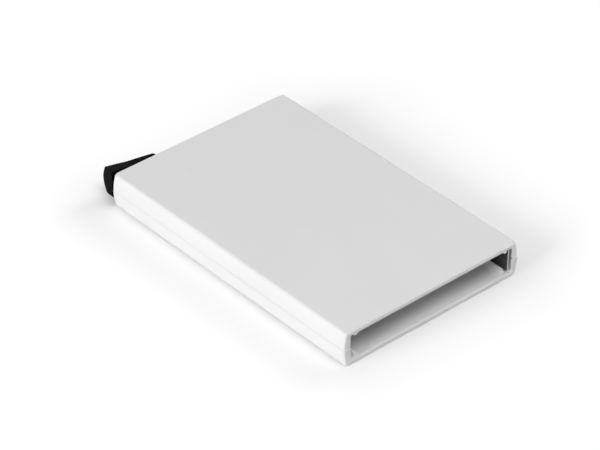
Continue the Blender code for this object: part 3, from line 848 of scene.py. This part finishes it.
@dataclass(frozen=True)
class Lever:
    """Black ejector lever in one moulding: thumb fin, web, hub, heel and stepped arm."""

    case: CaseSizes
    travel: float = math.radians(36)
    clearance: float = 0.00030
    hub_radius: float = 0.00235
    neck_reach: float = 0.00225
    arm_reach: float = 0.04000
    arm_step: float = 0.00400
    arm_steps: int = 6
    lowest_step: float = 0.00340
    step_rise: float = 0.000905
    arm_back_gap: float = 0.00035
    arm_root_front: float = 0.00220
    arm_tip_front: float = 0.00150
    arm_tip_round: float = 0.00140
    arm_edge_round: float = 0.00015
    boss_height: float = 0.00050
    bore_gap: float = 0.00010
    heel_limit: float = math.radians(184)
    heel_half_angle: float = math.radians(24)
    heel_tip_round: float = 0.00050
    heel_wall_gap: float = 0.00015
    thick_reach: float = 0.00570
    thin_reach: float = 0.00875
    stand_off: float = 0.00130
    thin_stand_off: float = 0.00040
    thick_edge: float = 0.00490
    thin_edge: float = 0.00225
    edge_sagitta: float = 0.00033
    bulge: float = 0.00126
    thin_bulge: float = 0.00020
    lower_setback: float = 0.00035
    hollow: float = 0.00095
    lip_share: float = 0.07
    lip_slope_share: float = 0.06
    thick_height: float = 0.00875
    rise_start: float = 0.00100
    corner_round: float = 0.00060
    parting_level: float = 0.16
    parting_share: float = 0.035
    parting_ridge: float = 0.00009
    fin_edge_round: float = 0.00020
    fin_tip_round: float = 0.00060
    web_inset: float = 0.00040
    web_sink: float = 0.00100
    web_foot_reach: float = 0.00560
    web_edge_round: float = 0.00015
    fin_stations: int = 26
    fin_rows: int = 28
    corner_steps: int = 3
    tip_room: float = 1.3
    tip_steps: int = 8
    arm_tip_steps: int = 10
    hub_steps: int = 96
    flat_normal: float = 0.97

    @property
    def to_back(self) -> float:
        """Distance from the pivot to the outer face of the back wall."""
        return self.case.back - self.case.pivot.y

    @property
    def to_back_inner(self) -> float:
        """Distance from the pivot to the inner face of the back wall."""
        return self.case.back_inner - self.case.pivot.y

    @property
    def hub(self) -> tuple[float, float]:
        """Lower and upper end of the hub."""
        gap = self.boss_height + self.clearance
        return self.case.floor_wall + gap, self.case.ceiling - gap

    @property
    def slim(self) -> tuple[float, float]:
        """Lower and upper side of the fin's slim part and of the web."""
        return self.case.floor_wall + self.clearance, self.case.ceiling - self.clearance

    def fin_place(self, shares: Vector) -> Vector:
        """Where a point of the fin lies.

        Args:
            shares: Share of the way from thick end to thin end, from inner to outer face, and from
                the bottom, at -1, to the top, at 1.

        Returns:
            The point, round the pivot.
        """
        along, outwards, level = shares
        low, high = self.slim
        reach = (self.thick_reach + self.thin_reach) * along - self.thick_reach
        tall = max(0.0, self.rise_start - reach) / (self.rise_start + self.thick_reach)
        slim_half = (high - low) / 2
        half = slim_half + (self.thick_height / 2 - slim_half) * tall
        bulge = self.bulge + (self.thin_bulge - self.bulge) * along
        straight = self.thick_edge + (self.thin_edge - self.thick_edge) * along
        edge = straight + 4 * self.edge_sagitta * along * (1 - along)
        setback = self.lower_setback * (1 - along) * (1 - level) / 2
        corner = round_inset(self.corner_round, half * (1 - abs(level))) * (1 - along)
        parting = max(0.0, 1 - abs(level - self.parting_level) / self.parting_share) * (1 - along)
        outer = edge + bulge * (1 - level**2) - setback - corner + self.parting_ridge * parting
        thin = max(0.0, reach / self.thin_reach)
        depth = self.hollow * max(0.0, -reach / self.thick_reach)
        within = min(1.0, max(0.0, (1 - abs(level) - self.lip_share) / self.lip_slope_share))
        inner = self.stand_off + (self.thin_stand_off - self.stand_off) * thin + depth * within
        middle = (low + high) / 2
        stand_off = inner + (outer - inner) * outwards
        return Vector((reach, self.to_back + stand_off, middle + half * level))

    def fin(self) -> Form:
        """Thumb fin outside the case, hollow between two lips inside and a barrel outside."""
        form = Form.block((0, 0, -1), (1, 1, 1))
        rows = [2 * i / self.fin_rows - 1 for i in range(1, self.fin_rows)]
        rows += [self.parting_level + self.parting_share * side for side in (-1, 0, 1)]
        half = self.thick_height / 2
        ends = [1 - self.lip_share, 1 - self.lip_share - self.lip_slope_share]
        ends += [1 - depth / half for depth in round_depths(self.corner_round, self.corner_steps)]
        form.slice(UP, rows + ends + [-end for end in ends])
        last = 1 - self.tip_room * self.fin_tip_round / (self.thick_reach + self.thin_reach)
        form.slice(ACROSS, [last * i / self.fin_stations for i in range(1, self.fin_stations + 1)])
        tip = [e for e in form.mesh.edges if all(min(v.co.xy) > 1 - MERGE for v in e.verts)]
        form.reshape(self.fin_place)
        form.bevel(tip, self.fin_tip_round, self.tip_steps)
        form.face_outwards()
        form.soften(self.is_fin_rim, self.fin_edge_round, FINE_EDGE_STEPS)
        return form

    def is_fin_rim(self, edge: bmesh.types.BMEdge) -> bool:
        """Whether an edge lies on the rim of the fin's top, bottom or one of its ends."""
        flat = any(max(abs(face.normal.z), abs(face.normal.x)) > self.flat_normal
                   for face in edge.link_faces)
        return flat and is_crease(edge)

    def arm(self) -> Form:
        """Stepped arm: a staircase along its length, trimmed to a bar with a rounded tip."""
        low, high = self.hub
        rear = self.to_back_inner - self.arm_back_gap
        corners = [(0.0, low), (self.arm_reach, low)]
        for i in range(self.arm_steps - 1):
            reach, top = self.arm_reach - i * self.arm_step, self.lowest_step + i * self.step_rise
            corners += [(reach, top), (reach - self.arm_step, top)]
        corners += [(self.arm_reach - (self.arm_steps - 1) * self.arm_step, high), (0.0, high)]
        front = -self.hub_radius - OVERRUN
        stairs = Form.prism((Vector((x, front, z)) for x, z in corners),
                            ALONG * (rear + OVERRUN - front))
        stairs.soften(is_crease, self.arm_edge_round, EDGE_STEPS)
        end = self.arm_reach
        plan = ((0, -self.arm_root_front), (end, -self.arm_tip_front), (end, rear), (0, rear))
        work = Workpiece("arm", stairs)
        work.use(Joining.TRIM, Form.upright(plan, low - OVERRUN, high + OVERRUN,
                                            lambda p: p.x > end - MERGE, self.arm_tip_round,
                                            self.arm_tip_steps))
        return work.worked()

    def heel(self) -> Form:
        """Stop on the hub that meets the left wall at the end of the travel."""
        rest = self.heel_limit + self.travel
        to_wall = self.case.pivot.x + self.case.inner_half - self.heel_wall_gap
        tip_reach = to_wall / abs(math.cos(self.heel_limit))
        spread = self.heel_half_angle
        low, high = self.hub
        corners = ((0.0, 0.0), (rest - spread, self.hub_radius), (rest, tip_reach),
                   (rest + spread, self.hub_radius))
        plan = ((reach * math.cos(angle), reach * math.sin(angle)) for angle, reach in corners)
        limit = self.hub_radius + MERGE
        return Form.upright(plan, low + SINK, high - SINK, lambda p: p.xy.length > limit,
                            self.heel_tip_round)

    def web(self) -> Form:
        """Web that joins the fin to the hub through the slot."""
        low, high = (level + sign * SINK for level, sign in zip(self.slim, (1, -1)))
        top = self.to_back + self.web_sink
        right = self.thin_reach - self.web_inset
        corners = [(0, 0), (self.web_foot_reach, 0), (right, self.to_back),
                   (right, top + self.thin_stand_off), (0, top + self.stand_off),
                   (-self.neck_reach, top + self.stand_off), (-self.neck_reach, 0)]
        form = Form.upright(corners, low, high)
        form.soften(is_crease, self.web_edge_round, EDGE_STEPS)
        return form

    def build(self, finish: bpy.types.Material) -> None:
        """Makes the lever in its finish."""
        origin = Vector()
        work = Workpiece("lever", Form.cylinder(origin, self.hub_radius, *self.hub, self.hub_steps))
        work.use(Joining.ADD, self.arm(), self.web(), self.heel(), self.fin())
        pin_low, pin_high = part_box("lever_pin")
        bore = (pin_high.x - pin_low.x) / 2 + self.bore_gap
        work.use(Joining.CUT, Form.cylinder(origin, bore, -OVERRUN, self.case.height + OVERRUN))
        form = work.worked()
        at_pivot = Vector((self.case.pivot.x, self.case.pivot.y, 0))
        bmesh.ops.translate(form.mesh, vec=at_pivot, verts=form.mesh.verts[:])
        set_in_frame(form, "ejector_lever", Body.LEVER, "lever", finish)


class Sheet:
    """A node tree that is being filled in."""

    def __init__(self, tree: bpy.types.NodeTree) -> None:
        """Works on this tree."""
        self.tree = tree

    @classmethod
    def of(cls, owner: bpy.types.Material | bpy.types.World) -> "Sheet":
        """The node tree of a new material or world."""
        owner.use_nodes = True
        return cls(owner.node_tree)

    def fill(self, node: bpy.types.Node, inputs: dict[str | int, object]) -> None:
        """Links each input, by name or number, to its socket, or sets it to its value."""
        for name, value in inputs.items():
            if isinstance(value, Socket):
                self.tree.links.new(value, node.inputs[name])
            else:
                node.inputs[name].default_value = value

    def node(self, kind: str, inputs: dict[str | int, object] | None = None,
             **settings: object) -> bpy.types.Node:
        """Adds a node.

        Args:
            kind: Type of the node.
            inputs: Values or linked sockets by the input's name or number.
            **settings: The node's own settings.

        Returns:
            The new node.
        """
        made = self.tree.nodes.new(kind)
        for name, value in settings.items():
            setattr(made, name, value)
        self.fill(made, inputs or {})
        return made

    def math(self, operation: str, first: object, second: object) -> Socket:
        """Joins two values by an arithmetic operation."""
        return self.node("ShaderNodeMath", {0: first, 1: second}, operation=operation).outputs[0]

    def vectors(self, operation: str, *values: object) -> Socket:
        """Works on one vector, or joins two, by an operation that gives a vector."""
        inputs = dict(enumerate(values))
        return self.node("ShaderNodeVectorMath", inputs, operation=operation).outputs[0]

    def between(self, mask: Socket, low: float, high: float) -> Socket:
        """Spreads a mask from 0 to 1 over a range."""
        inputs = {"Value": mask, "To Min": low, "To Max": high}
        return self.node("ShaderNodeMapRange", inputs).outputs[0]

    def step(self, value: Socket, low: float, high: float) -> Socket:
        """Mask that rises from 0 to 1 while the value crosses a range."""
        inputs = {"Value": value, "From Min": low, "From Max": high}
        return self.node("ShaderNodeMapRange", inputs).outputs[0]

    def tint(self, mask: Socket, low: Sequence[float], high: Sequence[float]) -> Socket:
        """Mixes two colours by a mask."""
        inputs = {0: mask, 6: (*low, 1), 7: (*high, 1)}
        return self.node("ShaderNodeMix", inputs, data_type="RGBA").outputs[2]

    def noise(self, vector: Socket, scale: Socket, detail: float, roughness: float = 0.5,
              distortion: float = 0.0) -> Socket:
        """Adds a noise texture and gives its mask."""
        inputs = {"Vector": vector, "Scale": scale, "Detail": detail, "Roughness": roughness,
                  "Distortion": distortion}
        return self.node("ShaderNodeTexNoise", inputs).outputs["Fac"]


class Effect(Enum):
    """Surface effects that several finishes share, each a node group built once."""

    GRAIN = "moulded_grain"
    MOTTLE = "soft_mottle"
    HAIRLINES = "hairlines"
    STREAKS = "drawn_streaks"


class Effects:
    """Builds the shared node groups and hands them out."""

    def __init__(self) -> None:
        """Starts with no group built."""
        self.built: dict[Effect, bpy.types.NodeTree] = {}

    def group(self, effect: Effect) -> bpy.types.NodeTree:
        """The effect's node group, built when it is first asked for."""
        if effect not in self.built:
            tree = bpy.data.node_groups.new(effect.value, "ShaderNodeTree")
            for name, way, kind in (("Vector", "INPUT", "Vector"), ("Scale", "INPUT", "Float"),
                                    ("Mask", "OUTPUT", "Float")):
                tree.interface.new_socket(name=name, in_out=way, socket_type="NodeSocket" + kind)
            sheet = Sheet(tree)
            source = sheet.node("NodeGroupInput").outputs
            makers = {Effect.GRAIN: self.grain, Effect.MOTTLE: self.mottle,
                      Effect.HAIRLINES: self.hairlines, Effect.STREAKS: self.streaks}
            mask = makers[effect](sheet, source["Vector"], source["Scale"])
            sheet.node("NodeGroupOutput", {"Mask": mask})
            self.built[effect] = tree
        return self.built[effect]

    @staticmethod
    def grain(sheet: Sheet, vector: Socket, scale: Socket) -> Socket:
        """Spark-eroded mould grain: fine rounded grains, some of them finer still."""
        cell_scale, cell_share = 1.7, 0.35
        fine = sheet.noise(vector, scale, detail=3.0, roughness=0.6)
        finer = sheet.math("MULTIPLY", scale, cell_scale)
        cells = sheet.node("ShaderNodeTexVoronoi", {"Vector": vector, "Scale": finer})
        share = sheet.math("MULTIPLY", cells.outputs["Distance"], cell_share)
        return sheet.math("ADD", fine, share)

    @staticmethod
    def mottle(sheet: Sheet, vector: Socket, scale: Socket) -> Socket:
        """Slow, cloudy change over a surface, as from handling and from flow in the mould."""
        clouds = sheet.noise(vector, scale, detail=4.0, roughness=0.55, distortion=0.4)
        return sheet.step(clouds, low=0.3, high=0.7)

    @staticmethod
    def hairlines(sheet: Sheet, vector: Socket, scale: Socket) -> Socket:
        """Fine crossing hairline scratches."""
        stretch = (1.0, 0.06, 0.3)
        masks = []
        for turn, shift in ((0.5, 0.0), (-0.9, 0.37)):
            place = {"Location": (shift, shift, shift), "Rotation": (turn, turn / 2, turn)}
            drawn = sheet.node("ShaderNodeMapping", {"Vector": vector, "Scale": stretch, **place})
            lines = sheet.noise(drawn.outputs[0], scale, detail=2.0)
            masks.append(sheet.step(lines, low=0.62, high=0.70))
        return sheet.math("MAXIMUM", *masks)

    @staticmethod
    def streaks(sheet: Sheet, vector: Socket, scale: Socket) -> Socket:
        """Streaks along the vector's Y, as rolling or drawing leaves on metal."""
        stretch = (1.0, 0.03, 1.0)
        drawn = sheet.node("ShaderNodeMapping", {"Vector": vector, "Scale": stretch})
        return sheet.noise(drawn.outputs[0], scale, detail=5.0, roughness=0.65)


@dataclass(frozen=True)
class Layer:
    """One use of an effect in a finish."""

    effect: Effect
    scale: float


@dataclass(frozen=True)
class Finish:
    """A surface finish: two close colours, a range of roughness, and a fine relief."""

    name: str
    dark: tuple[float, float, float]
    light: tuple[float, float, float]
    rough: tuple[float, float]
    colour_layer: Layer
    rough_layer: Layer
    relief_layer: Layer
    relief: float = 0.00001
    relief_strength: float = 0.5
    metallic: float = 0.0
    specular: float = 0.5
    turn: tuple[float, float, float] = (0.0, 0.0, 0.0)

    def material(self, effects: Effects) -> bpy.types.Material:
        """The finish as a node material that uses the shared node groups."""
        made = bpy.data.materials.new(self.name)
        made.diffuse_color = (*self.light, 1)
        sheet = Sheet.of(made)
        mapping = {"Vector": sheet.node("ShaderNodeTexCoord").outputs["Object"],
                   "Rotation": self.turn}
        vector = sheet.node("ShaderNodeMapping", mapping).outputs[0]
        colour, rough, height = (
            sheet.node("ShaderNodeGroup", {"Vector": vector, "Scale": layer.scale},
                       node_tree=effects.group(layer.effect)).outputs["Mask"]
            for layer in (self.colour_layer, self.rough_layer, self.relief_layer)
        )
        bump = sheet.node("ShaderNodeBump", {"Height": height, "Distance": self.relief,
                                             "Strength": self.relief_strength})
        sheet.fill(made.node_tree.nodes["Principled BSDF"], {
            "Base Color": sheet.tint(colour, self.dark, self.light),
            "Roughness": sheet.between(rough, *self.rough),
            "Normal": bump.outputs[0],
            "Metallic": self.metallic,
            "Specular IOR Level": self.specular,
        })
        return made


def metal(name: str, dark: tuple[float, float, float], light: tuple[float, float, float],
          rough: tuple[float, float], scales: tuple[float, float, float]) -> Finish:
    """Metal with drawn streaks, at these scales in its colour, its roughness and its relief."""
    layers = (Layer(Effect.STREAKS, scale) for scale in scales)
    return Finish(name, dark, light, rough, *layers, metallic=1.0)


WHITE_PLASTIC = Finish(
    name="white_moulded_plastic",
    dark=(0.80, 0.80, 0.80),
    light=(0.82, 0.82, 0.82),
    rough=(0.44, 0.52),
    colour_layer=Layer(Effect.MOTTLE, 45.0),
    rough_layer=Layer(Effect.MOTTLE, 160.0),
    relief_layer=Layer(Effect.GRAIN, 5200.0),
    relief_strength=0.15,
    specular=0.3,
)
BLACK_PLASTIC = Finish(
    name="black_gloss_plastic",
    dark=(0.0025, 0.0025, 0.0026),
    light=(0.0045, 0.0045, 0.0047),
    rough=(0.30, 0.42),
    colour_layer=Layer(Effect.MOTTLE, 400.0),
    rough_layer=Layer(Effect.HAIRLINES, 900.0),
    relief_layer=Layer(Effect.MOTTLE, 700.0),
    relief=0.00003,
    relief_strength=0.25,
    specular=0.02,
)
BLACKENED_STEEL = metal("blackened_spring_steel", (0.10, 0.10, 0.102), (0.17, 0.17, 0.173),
                        rough=(0.35, 0.55), scales=(1800.0, 3500.0, 4200.0))
BARE_EDGE = replace(
    metal("bare_cut_steel", (0.30, 0.30, 0.30), (0.42, 0.42, 0.42),
          rough=(0.35, 0.5), scales=(5200.0, 900.0, 6000.0)),
    rough_layer=Layer(Effect.MOTTLE, 900.0),
    turn=(math.pi / 2, 0.0, 0.0),
)
ALUMINIUM = metal("rolled_aluminium", (0.68, 0.68, 0.69), (0.78, 0.78, 0.79),
                  rough=(0.28, 0.42), scales=(1500.0, 3000.0, 4000.0))
TURNED_STEEL = metal("turned_steel", (0.52, 0.52, 0.53), (0.62, 0.62, 0.63),
                     rough=(0.22, 0.34), scales=(2600.0, 5200.0, 6000.0))


@dataclass(frozen=True)
class Softbox:
    """A round studio lamp that faces the object.

    Its direction is given from the object, its breadth is the angle that it fills, and its level is
    how bright it makes a white face that is turned to it.
    """

    name: str
    azimuth: float
    elevation: float
    distance: float
    breadth: float
    level: float

    def build(self) -> None:
        """Adds the lamp."""
        lamp = bpy.data.lights.new(self.name, "AREA")
        lamp.shape = "DISK"
        lamp.size = 2 * self.distance * math.tan(self.breadth / 2)
        lamp.energy = self.level * (math.pi * self.distance) ** 2
        holder = linked(self.name, lamp)
        away = towards(self.azimuth, self.elevation)
        holder.location = away * self.distance
        holder.rotation_euler = (-away).to_track_quat("-Z", "Y").to_euler()


@dataclass(frozen=True)
class Studio:
    """White floor, with a painted shade round the object, and surround with soft lamps."""

    ambient: float = 0.14
    floor_radius: float = 4.0
    floor_steps: int = 96
    floor_white: float = 0.86
    floor_lift: float = 0.34
    # Painted shade: next to the object the floor's glow for the camera drops by this much, fading
    # out over the reach below.
    painted_floor_shade: float = 0.235
    painted_floor_shade_reach: float = 0.0120
    floor_rough: float = 0.9
    floor_sink: float = 0.00002
    lamps: Sequence[Softbox] = (
        Softbox("key_left", math.radians(180), math.radians(20), 1.25, math.radians(30), 0.73),
        Softbox("front_top", math.radians(270), math.radians(65), 1.00, math.radians(30), 0.36),
        Softbox("fill_right", 0.0, math.radians(30), 2.00, math.radians(30), 0.275),
        Softbox("fill_back", math.radians(90), math.radians(20), 2.00, math.radians(22), 0.07),
    )

    @staticmethod
    def seen_directly(sheet: Sheet) -> Socket:
        """1 for rays from the camera, a reflection or a see-through surface, and 0 for others."""
        rays = sheet.node("ShaderNodeLightPath").outputs
        seen = sheet.math("MAXIMUM", rays["Is Camera Ray"], rays["Is Glossy Ray"])
        return sheet.math("MAXIMUM", seen, rays["Is Transmission Ray"])

    def surround(self) -> None:
        """Sets the world: a plain soft light that shows as white."""
        world = bpy.data.worlds.new("white_surround")
        bpy.context.scene.world = world
        sheet = Sheet.of(world)
        strength = sheet.between(self.seen_directly(sheet), self.ambient, 1.0)
        background = world.node_tree.nodes["Background"]
        sheet.fill(background, {"Color": (1, 1, 1, 1), "Strength": strength})

    def floor_finish(self) -> bpy.types.Material:
        """White floor that keeps the object's shadow, has a painted shade round the object, and
        lets the underside be seen from below.
        """
        made = bpy.data.materials.new("white_floor")
        sheet = Sheet.of(made)
        nodes = made.node_tree.nodes
        shader = nodes["Principled BSDF"]
        # The camera's glow carries the painted shade round the object.
        glow_with_painted_shade = sheet.math("MULTIPLY", self.lift(sheet), self.seen_directly(sheet))
        sheet.fill(shader, {
            "Base Color": (self.floor_white, self.floor_white, self.floor_white, 1),
            "Roughness": self.floor_rough,
            "Specular IOR Level": 0.0,
            "Emission Color": (1, 1, 1, 1),
            "Emission Strength": glow_with_painted_shade,
        })
        clear = sheet.node("ShaderNodeBsdfTransparent")
        below = sheet.node("ShaderNodeNewGeometry").outputs["Backfacing"]
        mix = sheet.node("ShaderNodeMixShader", {0: below, 1: shader.outputs[0],
                                                 2: clear.outputs[0]})
        sheet.fill(nodes["Material Output"], {"Surface": mix.outputs[0]})
        return made

    def lift(self, sheet: Sheet) -> Socket:
        """How much the floor glows for the camera: an even glow, less a painted shade that darkens
        it close to the object.
        """
        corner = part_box("lower_shell")[1]
        reach = sheet.vectors("ABSOLUTE", sheet.node("ShaderNodeTexCoord").outputs["Object"])
        past = sheet.vectors("SUBTRACT", reach, (corner.x, corner.y, 0))
        outside = sheet.node("ShaderNodeVectorMath", {0: sheet.vectors("MAXIMUM", past)},
                             operation="LENGTH").outputs["Value"]
        # Painted shade: strongest at the case's outline, falling off with the distance from it.
        painted_shade_share = sheet.math("POWER", math.e, sheet.math("DIVIDE", outside, -self.painted_floor_shade_reach))
        return sheet.math("SUBTRACT", self.floor_lift, sheet.math("MULTIPLY", painted_shade_share, self.painted_floor_shade))

    def floor(self) -> None:
        """Adds the floor."""
        form = Form()
        level = Matrix.Translation((0, 0, -self.floor_sink))
        bmesh.ops.create_circle(form.mesh, cap_ends=True, segments=self.floor_steps,
                                radius=self.floor_radius, matrix=level)
        floor = form.to_object("studio_floor")
        floor.data.materials.append(self.floor_finish())

    def build(self) -> None:
        """Sets the stage, its light and the view transform."""
        bpy.context.scene.view_settings.view_transform = "Standard"
        self.surround()
        self.floor()
        for lamp in self.lamps:
            lamp.build()


@dataclass(frozen=True)
class PhotoCamera:
    """Camera at the photograph's place and angle."""

    location: tuple[float, float, float] = (-0.41807, -0.46008, 0.45403)
    azimuth: float = math.radians(-131.967)
    elevation: float = math.radians(35.891)
    roll: float = math.radians(0.738)
    lens: float = 174.706
    sensor: float = 36.0
    image_width: float = 600.0
    shift_pixels: tuple[float, float] = (-0.5, 0.5)
    nearest: float = 0.01
    farthest: float = 20.0

    def build(self) -> None:
        """Adds the camera and makes it the scene's."""
        camera = bpy.data.cameras.new("photo_camera")
        camera.lens = self.lens
        camera.sensor_width = self.sensor
        camera.shift_x, camera.shift_y = (shift / self.image_width for shift in self.shift_pixels)
        camera.clip_start, camera.clip_end = self.nearest, self.farthest
        holder = linked("photo_camera", camera)
        forwards = -towards(self.azimuth, self.elevation)
        turned = forwards.to_track_quat("-Z", "Y").to_matrix().to_4x4()
        roll = Matrix.Rotation(self.roll, 4, "Z")
        holder.matrix_world = Matrix.Translation(self.location) @ turned @ roll
        bpy.context.scene.camera = holder


def main() -> None:
    """Builds the pieces in order, then the studio and the camera."""
    logging.basicConfig(level=logging.INFO, format="%(message)s")
    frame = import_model()
    effects = Effects()
    sizes = CaseSizes.from_frame(frame["joints"])
    PhotoCamera().build()
    Case(sizes).build(WHITE_PLASTIC.material(effects))
    CardSpring().build(BLACKENED_STEEL.material(effects), BARE_EDGE.material(effects))
    Screens().build(ALUMINIUM.material(effects))
    LeverPin().build(TURNED_STEEL.material(effects))
    Lever(sizes).build(BLACK_PLASTIC.material(effects))
    Studio().build()


if __name__ == "__main__":
    main()
